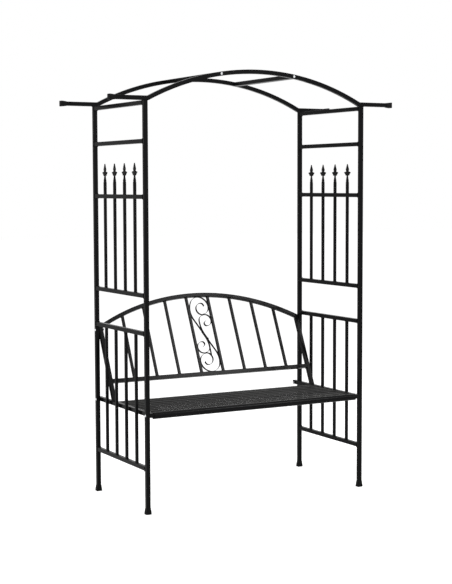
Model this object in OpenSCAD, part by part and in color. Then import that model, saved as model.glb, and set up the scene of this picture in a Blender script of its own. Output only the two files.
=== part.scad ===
// Garden arch with a two-seat bench, made of powder coated square steel tube.
// X runs to the right, Y to the rear and Z up. The origin is on the ground, midway between the posts.
// A side of -1 is left and 1 is right. A row of -1 is front and 1 is rear.

/* [Frame tube] */
// Outer width of the square frame tube
tube = 20; // [16:0.5:22]
// Wall of the frame tube
tube_wall = 1.2; // [0.8:0.1:2]
// Outer corner radius of the frame tube
tube_corner = 2; // [1:0.1:3]

/* [Side frames] */
// Distance between the left and right post centres
post_span = 1175; // [1000:1:1400]
// Distance between the front and rear post centres
post_depth = 564; // [500:1:700]
// Height of the post tops
post_top = 1894; // [1806:1:2106]
// Height of the bottom rail's centre
bottom_rail_z = 211; // [126:1:326]
// Height of the arm rail's centre
arm_rail_z = 834; // [832:1:906]
// Height of the lower trellis rail's centre
trellis_rail_z = 1009; // [946:1:1106]
// Distance from the post tops down to the spear rail's centre
spear_rail_drop = 434.5; // [400:0.5:600]
// Distance from the post tops down to the upper rail's centre
upper_rail_drop = 183; // [130:1:240]

/* [Pickets] */
// Number of pickets in each panel
picket_count = 4; // [2:1:6]
// Outer width of a lower picket
lower_picket = 13; // [9:0.5:15]
// Outer width of a spear picket
spear_picket = 12.5; // [9:0.5:14]
// Wall of the picket tube
picket_wall = 1; // [0.8:0.1:1.5]
// Outer corner radius of the picket tube
picket_corner = 1.2; // [0.8:0.1:2]
// Height of a spear picket's top above the spear rail's centre
spear_rise = 60.5; // [40:0.5:90]
// Room around a picket in the spear rail's holes
picket_room = 0.2; // [0.1:0.05:0.5]

/* [Spear finials] */
// Height of a finial above its picket
finial_h = 95; // [85:1:110]
// Thickness of the flat blade and crown
finial_t = 5.5; // [4:0.5:8]
// Width of the blade
blade_w = 24.5; // [20:0.5:30]
// Width of the crown at its points
crown_w = 52; // [44:0.5:60]
// Width of the crown at its foot
crown_foot_w = 31; // [26:0.5:38]
// Width of the waist between blade and crown
waist_w = 17; // [12:0.5:20]
// Diameter of the neck under the crown
neck_d = 8.5; // [7:0.5:11]
// Height of the crown's foot above the picket
crown_z = 36.5; // [30:0.5:45]
// Diameter of the barrel under the neck
barrel_d = 14; // [12:0.5:18]
// Height of the barrel's top above the picket
barrel_h = 17; // [12:0.5:22]
// Diameter of the ring on the picket's end
ring_d = 16; // [15:0.5:22]
// Height of the ring
ring_h = 7; // [4:0.5:10]
// Length of the tang inside the picket
tang_l = 20; // [10:1:40]
// Room around the tang
tang_room = 0.1; // [0.05:0.05:0.3]

/* [Roof] */
// Rise of the arches from the overhang bars to the crown
arch_rise = 137; // [100:0.5:200]
// Distance from the post centres inwards to the knees, where the arches start
knee_inset = 14; // [0:1:30]
// Reach of the overhang bars beyond the post centres, with their caps
overhang = 179; // [120:0.5:260]
// Distance of the rungs from the middle
rung_x = 197; // [120:1:350]
// Length of the spigots in the arches' ends, and of the plugs in the overhang bars
spigot_l = 50; // [35:1:80]
// Wall of the spigots and bar plugs
spigot_wall = 1.5; // [1:0.1:2.5]
// Room between a spigot or plug and the tube around it
spigot_room = 0.1; // [0.05:0.05:0.4]
// Length of the threaded plugs in the rung ends
plug_l = 22; // [20:1:40]

/* [Seat] */
// Height of the side rails' centre
seat_rail_z = 459; // [406:1:506]
// Length of side rail behind the rear posts
seat_rail_tail = 8; // [6:0.5:30]
// Thickness of the plugs' flanges on the side rails' ends
rail_plug_t = 2; // [1:0.5:3]
// Length of these plugs inside the side rails
rail_plug_l = 3; // [2:0.5:4]
// Diameter of the round front tube
front_tube_d = 31; // [28:0.5:36]
// Wall of the front tube
front_tube_wall = 1.5; // [1:0.1:2.5]
// How far the front tube's centre lies below the side rails' centre
front_tube_drop = 3; // [1:0.1:5]
// Width of a slat
slat_w = 32; // [26:0.5:36]
// Thickness of a slat
slat_t = 2.4; // [1:0.1:3]
// Distance from the uprights' feet forward to the last slat
last_slat_room = 8.6; // [5:0.1:20]
// How far the slats' top lies below the side rails' top
slat_drop = 2.2; // [0.5:0.1:3]
// Gap between the slats' ends and the side rails
slat_end_gap = 4; // [2:0.5:40]
// Gap between the front tube and the first slat
slat_front_gap = 0.4; // [0.2:0.1:3]
// Outer width of the bearers under the slats
bearer_w = 15; // [12:0.5:16]
// Distance of the bearers' centres from the slats' ends
bearer_inset = 65; // [10:1:120]

/* [Backrest] */
// Distance from the rear posts' centre forward to the uprights' feet
back_reach = 152; // [110:1:190]
// Height of the bolts that hold the uprights to the rear posts
back_bolt_z = 803; // [766:1:804]
// How far the uprights' centre lies behind the rear posts' centre at these bolts
back_set = 2.4; // [0:0.1:4]
// Length of upright above the bolt, to the arch's end
back_over = 10.8; // [8:0.1:12]
// Rise of the backrest's arch above its ends
back_rise = 145; // [110:1:180]
// Height of the bottom rail's centre above the feet, along the backrest
back_rail_l = 96; // [60:1:140]
// Thickness of the uprights' foot plates
foot_plate_t = 3; // [2:0.5:5]
// Length of the foot plates
foot_plate_l = 23; // [22:0.5:30]
// Width of a spindle
spindle_w = 13; // [9:0.5:14]
// Distance from one spindle to the next
spindle_pitch = 125; // [115:1:135]

/* [Scroll ornament] */
// Depth of the strip, through the backrest
strip_w = 12.5; // [8:0.5:14]
// Thickness of the strip
strip_t = 2; // [1.2:0.1:2.5]
// How much thinner the strip is on each face of a bend
bend_thinning = 0.04; // [0.02:0.01:0.08]
// Gap between two strips where they lie against each other
strip_gap = 0.1; // [0.05:0.05:0.5]
// Slope of the long strip across the middle
scroll_slope = 62.8; // [60:0.1:66]
// How far the slope crosses below the ornament's middle
scroll_sink = 6; // [0:0.5:8]
// Radius of the bends from the slope to the sides
scroll_bend_r = 100; // [80:1:120]
// Radius of the hook that comes back from the big end loop
hook_r = 43.5; // [40:0.1:46]
// Radius of the large curl
curl_r = 31.5; // [28:0.5:34]
// Radius of the large curl's inner end
curl_tip_r = 16; // [12:0.5:20]
// Angle at which the large curl's inner end stops
curl_tip = -5; // [-30:1:30]
// Distance of the large curl's centre from the middle
curl_x = 13.5; // [11:0.5:16]
// Radius of the shoulder between the curls
shoulder_r = 30.5; // [28:0.5:32]
// Radius of the small curl
small_curl_r = 13; // [10:0.5:16]
// Angle at which the small curl ends
small_curl_tip = 95; // [60:1:150]
// Radius of the branch that runs into the slope
branch_r = 31.5; // [28:0.5:32]
// Distance of the branch's centre from the middle
branch_x = 17; // [15:0.5:19]
// Radius of the branch's last bend
branch_bend_r = 140; // [100:1:145]
// How far the branch lies along the slope past the middle
branch_end = 20; // [4:1:30]

/* [Caps] */
// Length of a cap
cap_l = 29; // [24:0.5:36]
// Length of the cap's straight end
cap_flange = 8; // [5:0.5:12]
// Width of the cap's end
cap_end_w = 27; // [23:0.5:32]
// Width of the cap's mouth beyond the tube
cap_lip = 2.2; // [2:0.1:4]
// Thickness of the cap's closed end
cap_floor = 4; // [3:0.5:8]
// Room between cap and tube on each side
cap_room = 0.1; // [0.05:0.05:0.3]
// Corner radius of the caps
cap_corner = 3; // [1.5:0.5:4]

/* [Bolts] */
// Diameter of the bolts
bolt_d = 6; // [5:0.5:6.5]
// Diameter of the domed bolt heads
head_d = 12; // [10:0.5:14]
// Height of the bolt heads
head_h = 3.4; // [2.5:0.1:5]
// Width of the socket in the heads, across its corners
socket_d = 4.6; // [3.5:0.1:5.5]
// Depth of the socket
socket_h = 1.8; // [1:0.1:2.4]
// Width of a nut across its corners
nut_d = 11.5; // [10:0.5:12.5]
// Height of a nut
nut_h = 5; // [4:0.5:7]
// Length of bolt beyond its nut
bolt_tail = 2; // [0.5:0.5:4]
// Radial room around the bolts in their holes
bolt_room = 0.25; // [0.1:0.05:0.5]
// Radial room between bolt and nut
thread_room = 0.05; // [0.02:0.01:0.1]
// Diameter of the spigot screws
screw_d = 4; // [3:0.5:5]
// Diameter of the spigot screws' heads
screw_head_d = 8; // [7:0.5:10]
// Width of these heads' flat tops
screw_head_top = 6.4; // [5:0.1:6.9]
// Height of the spigot screws' heads
screw_head_h = 2.2; // [1.5:0.1:3]
// Length of the spigot screws
screw_l = 10; // [6:1:13]

/* [Hidden] */
$fn = 48;

// Colours of the powder coat, the plastic caps and the zinc plated bolts
coat = "#1d1d1f";
plastic = "#0e0e0f";
zinc = "#c9cbcd";

// Number of fragments of a full turn for the large bends
bend_fn = 360;
// Number of fragments of a full turn for corners and caps
corner_fn = 32;
// Thickness of the thin plates that a tapered cap is stretched between
skin = 0.01;
// Length of cutting tools beyond what they cut
cut = 1;
// Side of the block that trims a mitre
mitre_box = 140;
// Angle that a bent tube runs past its mitre before it is trimmed
bend_spare = 2;
// Smallest corner radius inside a tube
least_corner = 0.4;
// Length that a straight strip reaches into the bends at its ends
strip_bite = 0.5;
// Number of straight edges that bound a bent strip's angle
sector_steps = 4;
// Number of slats
slat_count = 9;
// Number of spindles on each side of the middle
spindle_pairs = 4;

// Posts and rails
post_x = post_span / 2;
post_y = post_depth / 2;
rail_l = post_depth - tube;
top_rail_z = post_top - tube / 2;
upper_rail_z = post_top - upper_rail_drop;
spear_rail_z = post_top - spear_rail_drop;

// Roof
bar_z = post_top + tube / 2;
bar_end = post_x + overhang;
knee_x = post_x - knee_inset;
arch_r = (knee_x * knee_x + arch_rise * arch_rise) / (2 * arch_rise);
arch_half_angle = asin(knee_x / arch_r);
arch_cz = bar_z + arch_rise - arch_r;
spigot_w = square_inside(tube, tube_wall, tube_corner) - 2 * spigot_room;
spigot_angle = spigot_l / arch_r * 180 / PI;
rung_z = arch_cz + sqrt(arch_r * arch_r - rung_x * rung_x);
rung_slope = asin(rung_x / arch_r);

// Seat
seat_x = post_x - tube;
seat_inner_x = seat_x - tube / 2;
seat_rail_top = seat_rail_z + tube / 2;
seat_rail_bottom = seat_rail_z - tube / 2;
seat_rail_front = -post_y - tube / 2;
seat_rail_rear = post_y + tube / 2 + seat_rail_tail;
front_tube_y = -post_y;
front_tube_z = seat_rail_z - front_tube_drop;
slat_top = seat_rail_top - slat_drop;
slat_bottom = slat_top - slat_t;
slat_half_l = seat_inner_x - slat_end_gap;
front_tube_rear = front_tube_y
    + sqrt(max(0, front_tube_d * front_tube_d / 4 - pow(slat_bottom - front_tube_z, 2)));
first_slat_y = front_tube_rear + slat_front_gap + slat_w / 2;
back_foot_y = post_y - back_reach;
last_slat_y = back_foot_y - last_slat_room - slat_w / 2;
slat_pitch = (last_slat_y - first_slat_y) / (slat_count - 1);

// Backrest, measured in its own plane: across is X, and up is the length along the plane
back_foot_z = seat_rail_top + foot_plate_t;
back_run = back_reach + back_set;
back_climb = back_bolt_z - back_foot_z;
back_lean = atan(back_run / back_climb);
back_side_l = sqrt(back_run * back_run + back_climb * back_climb) + back_over;
back_arch_r = (seat_x * seat_x + back_rise * back_rise) / (2 * back_rise);
back_arch_angle = asin(seat_x / back_arch_r);
back_arch_cl = back_side_l + back_rise - back_arch_r;
back_rail_top = back_rail_l + tube / 2;
back_arch_under = back_arch_r - tube / 2;
foot_bolt_y = back_foot_y + nut_h / 2 * tan(back_lean);

// Origin: halfway between the front tube's front and the rear edge of the backrest's crown
back_crown_y = back_foot_y + (back_side_l + back_rise) * sin(back_lean)
    + (tube / 2 - tube_corner) * (sin(back_lean) + cos(back_lean)) + tube_corner;
mid_y = (back_crown_y + front_tube_y - front_tube_d / 2) / 2;

// Scroll, measured from its own middle: it fills the space between rail, arch and middle spindles
bend_t = strip_t - 2 * bend_thinning;
scroll_mid_l = (back_rail_top + back_arch_cl + back_arch_under) / 2;
scroll_half_h = (back_arch_cl + back_arch_under - back_rail_top) / 2 - bend_t / 2;
scroll_half_w = spindle_pitch / 2 - spindle_w / 2 - strip_t / 2;
strip_step = strip_t + strip_gap;
bend_turn = 90 - scroll_slope;
bend_x = scroll_bend_r - scroll_half_w;
bend_start_x = scroll_bend_r * (1 - cos(bend_turn)) - scroll_half_w;
branch_left_x = branch_x - branch_r;
branch_join_x = branch_left_x + branch_bend_r * (1 - cos(bend_turn));

// Each half of the scroll is drawn as the upper one, where its slope crosses the middle at height mid

// Height where the slope goes over into the bend
function bend_start_y(mid) = mid - bend_start_x * tan(scroll_slope);

// Height of the bend's centre
function bend_y(mid) = bend_start_y(mid) + scroll_bend_r * sin(bend_turn);

// Radius of the end loop, which touches arch and spindle and runs on smoothly from the bend
function loop_r(mid) =
    let (
        a = 2 * scroll_half_w - scroll_bend_r,
        b = scroll_half_h - bend_y(mid),
        c = scroll_bend_r - a - b
    )
    sqrt(max(0, c * c + scroll_bend_r * scroll_bend_r - a * a - b * b)) - c;

// Height of the strip between the two curls
function shoulder_y(mid) = scroll_half_h - loop_r(mid) - hook_r - strip_step;

// Height where the branch meets the slope
function branch_join_y(mid) =
    mid + (strip_step - branch_join_x * sin(scroll_slope)) / cos(scroll_slope);

// Corner radius inside a square tube
function bore_corner(wall, r) = max(r - wall, least_corner);

// Width of the largest square with sharp corners that fits inside a square tube
function square_inside(w, wall, r) = w - 2 * wall - (2 - sqrt(2)) * bore_corner(wall, r);

// Centre of a picket between the posts, so that all gaps in a panel are equal
function picket_y(i, w) = -rail_l / 2 + (rail_l + w) / (picket_count + 1) * (i + 1) - w / 2;

// Centre of a slat, counted from 1 at the front
function slat_y(i) = first_slat_y + (i - 1) * slat_pitch;

// A list in reverse order
function reversed(p) = [for (i = [len(p) - 1:-1:0]) p[i]];

// Square with rounded corners, centred
module rounded_square(w, r) {
    square([w, w - 2 * r], center = true);
    square([w - 2 * r, w], center = true);
    for (sx = [-1, 1], sy = [-1, 1])
        translate([sx * (w / 2 - r), sy * (w / 2 - r)])
            circle(r, $fn = corner_fn);
}

// Cross-section of a square tube
module tube_profile(w, wall, r) {
    difference() {
        rounded_square(w, r);
        rounded_square(w - 2 * wall, bore_corner(wall, r));
    }
}

// Cross-section of the spigots and bar plugs
module spigot_profile() {
    difference() {
        square(spigot_w, center = true);
        square(spigot_w - 2 * spigot_wall, center = true);
    }
}

// Frame tube that stands on the origin
module frame_tube(l) {
    linear_extrude(l)
        tube_profile(tube, tube_wall, tube_corner);
}

// Picket tube that stands on the origin
module picket_tube(w, l) {
    linear_extrude(l)
        tube_profile(w, picket_wall, picket_corner);
}

// Moves from the middle between the posts to the origin
module in_frame() {
    translate([0, -mid_y, 0])
        children();
}

// Turns what stands up to point to the rear
module to_rear() {
    rotate([-90, 0, 0])
        children();
}

// Turns what stands up to point to the right
module to_right() {
    rotate([0, 90, 0])
        children();
}

// The same on the given side
module on_side(side) {
    mirror([side < 0 ? 1 : 0, 0, 0])
        children();
}

// Cross-section bent about a centre in the XZ plane
module bent(r, from, to) {
    rotate([90, 0, 0])
        rotate([0, 0, from])
            rotate_extrude(angle = to - from, $fn = bend_fn)
                translate([r, 0])
                    children();
}

// Block outside a mitre on the right, with its face through the origin
module mitre_outside(tilt) {
    rotate([0, tilt, 0])
        translate([0, -mitre_box / 2, -mitre_box / 2])
            cube(mitre_box);
}

// Block inside a mitre on the right
module mitre_inside(tilt) {
    rotate([0, tilt + 180, 0])
        translate([0, -mitre_box / 2, -mitre_box / 2])
            cube(mitre_box);
}

// Hole along X or Y for a bolt, centred
module bolt_hole(l) {
    cylinder(h = l, r = bolt_d / 2 + bolt_room, center = true);
}

// Post with its bolt holes
module post(side, row) {
    color(coat) in_frame()
        difference() {
            translate([side * post_x, row * post_y, cap_floor])
                frame_tube(post_top - cap_floor);
            translate([side * post_x, row * post_y, seat_rail_z])
                to_right()
                    bolt_hole(tube + 2 * cut);
            if (row > 0)
                translate([side * post_x, post_y, back_bolt_z])
                    to_right()
                        bolt_hole(tube + 2 * cut);
        }
}

// Tube between a front and a rear post
module rail_tube(side, z) {
    translate([side * post_x, -rail_l / 2, z])
        to_rear()
            frame_tube(rail_l);
}

// Plain rail of a side frame
module side_rail(side, z) {
    color(coat) in_frame()
        rail_tube(side, z);
}

// Rail that the spear pickets pass through
module spear_rail(side) {
    hole_w = spear_picket + 2 * picket_room;
    color(coat) in_frame()
        difference() {
            rail_tube(side, spear_rail_z);
            for (i = [0:picket_count - 1])
                translate([side * post_x, picket_y(i, spear_picket), spear_rail_z])
                    cube([hole_w, hole_w, tube + 2 * cut], center = true);
        }
}

// Pickets between the bottom rail and the arm rail
module lower_pickets(side) {
    color(coat) in_frame()
        for (i = [0:picket_count - 1])
            translate([side * post_x, picket_y(i, lower_picket), bottom_rail_z + tube / 2])
                picket_tube(lower_picket, arm_rail_z - bottom_rail_z - tube);
}

// Pickets that stand on the lower trellis rail and carry the finials
module spear_pickets(side) {
    foot = trellis_rail_z + tube / 2;
    color(coat) in_frame()
        for (i = [0:picket_count - 1])
            translate([side * post_x, picket_y(i, spear_picket), foot])
                picket_tube(spear_picket, spear_rail_z + spear_rise - foot);
}

// Outline of crown and blade, from the neck up the right side to the tip
function spear_side() = [
    [neck_d / 2, crown_z],
    [crown_foot_w / 2 - 2, crown_z + 1],
    [crown_foot_w / 2, crown_z + 3],
    [crown_foot_w / 2 + 2, crown_z + 8.5],
    [crown_w / 2, crown_z + 14.5],
    [crown_w / 2, crown_z + 18],
    [waist_w / 2 + 3, crown_z + 20.5],
    [waist_w / 2, crown_z + 22.5],
    [blade_w / 2 - 1, crown_z + 26.5],
    [blade_w / 2, crown_z + 31],
    [blade_w / 2 - 2.5, crown_z + 38],
    [3.8, finial_h - 8],
    [0.8, finial_h]
];

// Cast spear finial that stands on its picket, with a tang inside it
module finial() {
    half = spear_side();
    tang_w = square_inside(spear_picket, picket_wall, picket_corner) - 2 * tang_room;
    outline = concat(half, reversed([for (p = half) [-p[0], p[1]]]));
    rotate([90, 0, 90])
        linear_extrude(finial_t, center = true)
            polygon(outline);
    cylinder(h = crown_z + cut, d = neck_d);
    translate([0, 0, barrel_h])
        cylinder(h = crown_z - barrel_h, d1 = barrel_d, d2 = neck_d);
    cylinder(h = barrel_h, d = barrel_d);
    cylinder(h = ring_h, d = ring_d);
    translate([-tang_w / 2, -tang_w / 2, -tang_l])
        cube([tang_w, tang_w, tang_l + cut]);
}

// Finials of one panel
module spear_finials(side) {
    color(coat) in_frame()
        for (i = [0:picket_count - 1])
            translate([side * post_x, picket_y(i, spear_picket), spear_rail_z + spear_rise])
                finial();
}

// Straight leg from a knee outwards, mitred to meet the arch
module overhang_leg(side, l) {
    on_side(side)
        translate([knee_x, 0, bar_z])
            difference() {
                translate([-tube, 0, 0])
                    to_right()
                        linear_extrude(l + tube)
                            children();
                mitre_inside(arch_half_angle / 2);
            }
}

// Bent leg over an angle of the roof circle, mitred at both knees
module arch_leg(from, to) {
    difference() {
        translate([0, 0, arch_cz])
            bent(arch_r, from, to)
                children();
        for (side = [-1, 1])
            on_side(side)
                translate([knee_x, 0, bar_z])
                    mitre_outside(arch_half_angle / 2);
    }
}

// Places of the two spigot screws at one arch end: in the arch and in the bar
module screw_places(side) {
    mid = arch_half_angle - spigot_angle / 2;
    on_side(side) {
        translate([arch_r * sin(mid), tube / 2, arch_cz + arch_r * cos(mid)])
            children();
        translate([knee_x + spigot_l / 2, tube / 2, bar_z])
            children();
    }
}

// Holes for the spigot screws
module screw_holes(side) {
    screw_places(side)
        to_rear()
            cylinder(h = 2 * screw_l, d = screw_d + 2 * thread_room, center = true);
}

// Overhang bars on the tops of one side frame
module overhang_bars(side) {
    color(coat) in_frame()
        for (row = [-1, 1])
            translate([0, row * post_y, 0])
                difference() {
                    overhang_leg(side, knee_inset + overhang - cap_floor)
                        tube_profile(tube, tube_wall, tube_corner);
                    screw_holes(side);
                }
}

// Bent roof arch with holes for the rung bolts and spigot screws
module arch(row) {
    color(coat) in_frame()
        translate([0, row * post_y, 0])
            difference() {
                arch_leg(90 - arch_half_angle - bend_spare, 90 + arch_half_angle + bend_spare)
                    tube_profile(tube, tube_wall, tube_corner);
                for (side = [-1, 1]) {
                    translate([side * rung_x, 0, rung_z])
                        to_rear()
                            bolt_hole(tube + 2 * cut);
                    screw_holes(side);
                }
            }
}

// Spigots inside the arches' ends
module arch_spigots() {
    color(coat) in_frame()
        for (row = [-1, 1], side = [-1, 1])
            translate([0, row * post_y, 0])
                difference() {
                    on_side(side)
                        arch_leg(90 - arch_half_angle - bend_spare, 90 - arch_half_angle + spigot_angle)
                            spigot_profile();
                    screw_holes(side);
                }
}

// Plugs inside the overhang bars that the spigots are welded to
module bar_plugs() {
    color(coat) in_frame()
        for (row = [-1, 1], side = [-1, 1])
            translate([0, row * post_y, 0])
                difference() {
                    overhang_leg(side, spigot_l)
                        spigot_profile();
                    screw_holes(side);
                }
}

// Pan head screws that hold the tubes on the spigots and plugs, driven in from the rear
module spigot_screws() {
    color(plastic) in_frame()
        for (row = [-1, 1], side = [-1, 1])
            translate([0, row * post_y, 0])
                screw_places(side)
                    to_rear() {
                        cylinder(h = screw_head_h, d1 = screw_head_d, d2 = screw_head_top);
                        translate([0, 0, -screw_l])
                            cylinder(h = screw_l + screw_head_h / 2, d = screw_d);
                    }
}

// Moves to a rung's middle and turns with the arches' slope there
module at_rung(side) {
    translate([side * rung_x, 0, rung_z])
        rotate([0, side * rung_slope, 0])
            children();
}

// Rung between the two arches
module rung(side) {
    color(coat) in_frame()
        at_rung(side)
            translate([0, -rail_l / 2, 0])
                to_rear()
                    frame_tube(rail_l);
}

// Threaded plugs in the rungs' ends
module rung_plugs() {
    color(zinc) in_frame()
        for (side = [-1, 1], row = [-1, 1])
            at_rung(side)
                translate([0, row * (rail_l - plug_l) / 2, 0])
                    difference() {
                        cube([spigot_w, plug_l, spigot_w], center = true);
                        to_rear()
                            cylinder(h = plug_l + 2 * cut, r = bolt_d / 2 + thread_room, center = true);
                    }
}

// Bolt that points up, with the underside of its domed head on the origin
module bolt(l) {
    dome_r = (head_d * head_d / 4 + head_h * head_h) / (2 * head_h);
    cylinder(h = l, d = bolt_d);
    difference() {
        intersection() {
            translate([0, 0, dome_r - head_h])
                sphere(dome_r);
            translate([0, 0, -head_h])
                cylinder(h = head_h, d = head_d + cut);
        }
        translate([0, 0, -head_h])
            cylinder(h = socket_h, d = socket_d, $fn = 6);
    }
}

// Hexagon nut that stands on the origin
module nut() {
    difference() {
        cylinder(h = nut_h, d = nut_d, $fn = 6);
        translate([0, 0, -cut])
            cylinder(h = nut_h + 2 * cut, r = bolt_d / 2 + thread_room);
    }
}

// Bolts through the arches into the rungs, with their heads on the outside
module rung_bolts() {
    color(zinc) in_frame()
        for (side = [-1, 1], row = [-1, 1])
            at_rung(side)
                translate([0, row * (post_y + tube / 2), 0])
                    rotate([row * 90, 0, 0])
                        bolt(tube + plug_l - bolt_tail);
}

// Flared plastic cap, closed end on the origin and mouth up
module cap() {
    difference() {
        union() {
            linear_extrude(cap_flange)
                rounded_square(cap_end_w, cap_corner);
            hull() {
                translate([0, 0, cap_flange])
                    linear_extrude(skin)
                        rounded_square(cap_end_w, cap_corner);
                translate([0, 0, cap_l - skin])
                    linear_extrude(skin)
                        rounded_square(tube + cap_lip, cap_corner);
            }
        }
        translate([0, 0, cap_floor])
            linear_extrude(cap_l)
                rounded_square(tube + 2 * cap_room, tube_corner);
    }
}

// Caps that the posts stand in
module foot_caps() {
    color(plastic) in_frame()
        for (side = [-1, 1], row = [-1, 1])
            translate([side * post_x, row * post_y, 0])
                cap();
}

// Caps on the ends of the overhang bars
module overhang_caps() {
    color(plastic) in_frame()
        for (side = [-1, 1], row = [-1, 1])
            on_side(side)
                translate([bar_end, row * post_y, bar_z])
                    rotate([0, -90, 0])
                        cap();
}

// Side rail of the seat, bolted to the posts' inner faces
module seat_side_rail(side) {
    color(coat) in_frame()
        difference() {
            translate([side * seat_x, seat_rail_front, seat_rail_z])
                to_rear()
                    frame_tube(seat_rail_rear - seat_rail_front);
            for (row = [-1, 1])
                translate([side * seat_x, row * post_y, seat_rail_z])
                    to_right()
                        bolt_hole(tube + 2 * cut);
            translate([side * seat_x, foot_bolt_y, seat_rail_z])
                bolt_hole(tube + 2 * cut);
        }
}

// Plug that closes a side rail, with its flange below the origin
module rail_plug() {
    translate([0, 0, -rail_plug_t])
        linear_extrude(rail_plug_t)
            rounded_square(tube - 2 * spigot_room, tube_corner);
    translate([-spigot_w / 2, -spigot_w / 2, -rail_plug_t / 2])
        cube([spigot_w, spigot_w, rail_plug_t / 2 + rail_plug_l]);
}

// Plugs in the side rails' ends
module rail_plugs() {
    color(plastic) in_frame()
        for (side = [-1, 1]) {
            translate([side * seat_x, seat_rail_front, seat_rail_z])
                rotate([-90, 0, 0])
                    rail_plug();
            translate([side * seat_x, seat_rail_rear, seat_rail_z])
                rotate([90, 0, 0])
                    rail_plug();
        }
}

// Round tube along the seat's front edge
module seat_front_tube() {
    color(coat) in_frame()
        translate([-seat_inner_x, front_tube_y, front_tube_z])
            to_right()
                difference() {
                    cylinder(h = 2 * seat_inner_x, d = front_tube_d);
                    translate([0, 0, -cut])
                        cylinder(h = 2 * seat_inner_x + 2 * cut, d = front_tube_d - 2 * front_tube_wall);
                }
}

// One flat slat, counted from the front
module seat_slat(i) {
    color(coat) in_frame()
        translate([-slat_half_l, slat_y(i) - slat_w / 2, slat_bottom])
            cube([2 * slat_half_l, slat_w, slat_t]);
}

// Bar under the last slat, between the side rails
module seat_rear_bar() {
    color(coat) in_frame()
        translate([-seat_inner_x, slat_y(slat_count), slat_bottom - tube / 2])
            to_right()
                frame_tube(2 * seat_inner_x);
}

// Bearer under the slats, shaped to the front tube and ending at the rear bar
module seat_bearer(side) {
    l = slat_y(slat_count) - tube / 2 - front_tube_y;
    color(coat) in_frame()
        difference() {
            translate([side * (slat_half_l - bearer_inset), front_tube_y, slat_bottom - bearer_w / 2])
                to_rear()
                    linear_extrude(l)
                        tube_profile(bearer_w, tube_wall, tube_corner);
            translate([0, front_tube_y, front_tube_z])
                to_right()
                    cylinder(h = 2 * post_x, d = front_tube_d, center = true);
        }
}

// Moves to the uprights' feet and leans back with the backrest
module in_backrest() {
    translate([0, back_foot_y, back_foot_z])
        rotate([-back_lean, 0, 0])
            children();
}

// Upright, cut level at its foot and mitred to the arch
module back_upright(side) {
    spare = tube;
    color(coat) in_frame()
        difference() {
            in_backrest()
                on_side(side)
                    translate([seat_x, 0, 0])
                        difference() {
                            translate([0, 0, -spare])
                                frame_tube(back_side_l + 2 * spare);
                            translate([0, 0, back_side_l])
                                mitre_inside(45 + back_arch_angle / 2);
                        }
            translate([side * seat_x, back_foot_y, back_foot_z - mitre_box / 2])
                cube(mitre_box, center = true);
            translate([side * seat_x, post_y, back_bolt_z])
                to_right()
                    bolt_hole(tube + 2 * cut);
        }
}

// Level plates that close the uprights' feet
module back_foot_plates() {
    color(coat) in_frame()
        for (side = [-1, 1])
            difference() {
                translate([side * seat_x, back_foot_y, seat_rail_top + foot_plate_t / 2])
                    cube([tube, foot_plate_l, foot_plate_t], center = true);
                translate([side * seat_x, foot_bolt_y, seat_rail_top])
                    bolt_hole(3 * foot_plate_t);
            }
}

// Rail between the uprights
module back_bottom_rail() {
    color(coat) in_frame()
        in_backrest()
            translate([-seat_inner_x, 0, back_rail_l])
                to_right()
                    frame_tube(2 * seat_inner_x);
}

// Bent top of the backrest
module back_arch() {
    color(coat) in_frame()
        in_backrest()
            difference() {
                translate([0, 0, back_arch_cl])
                    bent(back_arch_r, 90 - back_arch_angle - bend_spare, 90 + back_arch_angle + bend_spare)
                        tube_profile(tube, tube_wall, tube_corner);
                for (side = [-1, 1])
                    on_side(side)
                        translate([seat_x, 0, back_side_l])
                            mitre_outside(45 + back_arch_angle / 2);
            }
}

// Spindles between bottom rail and arch, their tops shaped to the arch
module back_spindles() {
    color(coat) in_frame()
        in_backrest()
            for (side = [-1, 1], i = [0:spindle_pairs - 1])
                intersection() {
                    translate([side * spindle_pitch * (i + 0.5), 0, back_rail_top])
                        picket_tube(spindle_w, back_side_l + back_rise);
                    translate([0, 0, back_arch_cl])
                        to_rear()
                            cylinder(h = 2 * tube, r = back_arch_under, center = true, $fn = bend_fn);
                }
}

// Straight flat strip from one point to another, as an outline that bites into the bends
module straight_strip(from, to) {
    d = to - from;
    translate((from + to) / 2)
        rotate(atan2(d[1], d[0]))
            square([norm(d) + 2 * strip_bite, strip_t], center = true);
}

// Flat strip bent about a centre, from one angle to another, as an outline
module bent_strip(centre, r, from, to) {
    reach = 2 * r + 2 * strip_t;
    translate(centre)
        intersection() {
            difference() {
                circle(r + bend_t / 2, $fn = bend_fn);
                circle(r - bend_t / 2, $fn = bend_fn);
            }
            polygon(concat(
                [[0, 0]],
                [for (i = [0:sector_steps])
                    let (a = from + (to - from) * i / sector_steps)
                    reach * [cos(a), sin(a)]]
            ));
        }
}

// Short straight piece across the seam of two bends
module seam_strip(at, angle) {
    translate(at)
        rotate(angle)
            square([2 * strip_bite, strip_t], center = true);
}

// Upper end of the long strip: bend to the side, end loop and hook
module end_loop(mid) {
    r = loop_r(mid);
    centre = [scroll_half_w - r, scroll_half_h - r];
    turn = atan2(centre[1] - bend_y(mid), bend_x - centre[0]);
    bent_strip([bend_x, bend_y(mid)], scroll_bend_r, 180 - turn, 180 + bend_turn);
    seam_strip(centre + r * [-cos(turn), sin(turn)], 90 - turn);
    bent_strip(centre, r, 0, 180 - turn);
    seam_strip([scroll_half_w, centre[1]], 90);
    bent_strip([scroll_half_w - hook_r, centre[1]], hook_r, -90, 0);
}

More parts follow.
